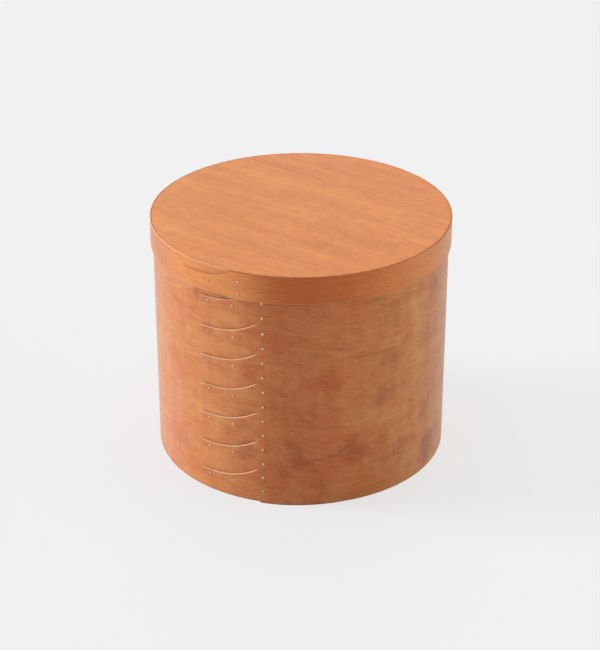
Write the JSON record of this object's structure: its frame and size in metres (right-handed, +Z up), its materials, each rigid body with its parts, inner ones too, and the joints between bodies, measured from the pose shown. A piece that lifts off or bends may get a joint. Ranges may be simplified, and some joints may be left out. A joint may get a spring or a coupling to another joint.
{
  "type": "shaker box",
  "caption": "Round bent-wood storage box with swallow-tail lapped band, copper tacks and a lift-off lid.",
  "frame": {"origin": "centre of the underside, where the box stands", "axes": "+Z up, the way the lid lifts off; -Y towards the lap with its fingers; +X to the right seen from the lap"},
  "size_m": [0.3, 0.3, 0.25],
  "materials": {
    "cherry_wall": "oiled, satin, fine horizontal grain",
    "cherry_floor": "oiled, matt",
    "cherry_rim": "oiled, satin",
    "cherry_top": "oiled, satin, straight grain",
    "cherry_pegs": "end grain, trimmed flush",
    "copper_tacks": "bright copper, lightly hammered"
  },
  "bodies": {
    "box": {"box_band": "cherry_wall", "box_bottom": "cherry_floor", "peg_box_1": "cherry_pegs", "peg_box_2": "cherry_pegs", "peg_box_3": "cherry_pegs", "peg_box_4": "cherry_pegs", "peg_box_5": "cherry_pegs", "peg_box_6": "cherry_pegs", "peg_box_7": "cherry_pegs", "peg_box_8": "cherry_pegs", "peg_box_9": "cherry_pegs", "tack_mid_1": "copper_tacks", "tack_mid_2": "copper_tacks", "tack_mid_3": "copper_tacks", "tack_mid_4": "copper_tacks", "tack_mid_5": "copper_tacks", "tack_mid_6": "copper_tacks", "tack_mid_7": "copper_tacks", "tack_root_1": "copper_tacks", "tack_root_10": "copper_tacks", "tack_root_11": "copper_tacks", "tack_root_12": "copper_tacks", "tack_root_13": "copper_tacks", "tack_root_14": "copper_tacks", "tack_root_15": "copper_tacks", "tack_root_2": "copper_tacks", "tack_root_3": "copper_tacks", "tack_root_4": "copper_tacks", "tack_root_5": "copper_tacks", "tack_root_6": "copper_tacks", "tack_root_7": "copper_tacks", "tack_root_8": "copper_tacks", "tack_root_9": "copper_tacks", "tack_tip_1": "copper_tacks", "tack_tip_2": "copper_tacks", "tack_tip_3": "copper_tacks", "tack_tip_4": "copper_tacks", "tack_tip_5": "copper_tacks", "tack_tip_6": "copper_tacks", "tack_tip_7": "copper_tacks"},
    "lid": {"lid_band": "cherry_rim", "lid_board": "cherry_top", "peg_lid_1": "cherry_pegs", "peg_lid_2": "cherry_pegs", "peg_lid_3": "cherry_pegs", "peg_lid_4": "cherry_pegs", "peg_lid_5": "cherry_pegs", "peg_lid_6": "cherry_pegs", "peg_lid_7": "cherry_pegs", "peg_lid_8": "cherry_pegs", "peg_lid_9": "cherry_pegs", "tack_lid_mid": "copper_tacks", "tack_lid_root_1": "copper_tacks", "tack_lid_root_2": "copper_tacks", "tack_lid_tip": "copper_tacks"}
  },
  "joints": [
    {"name": "lid_lift", "type": "slide", "parent": "box", "child": "lid", "axis": [0, 0, 1], "range_m": [0, 0.15]}
  ]
}
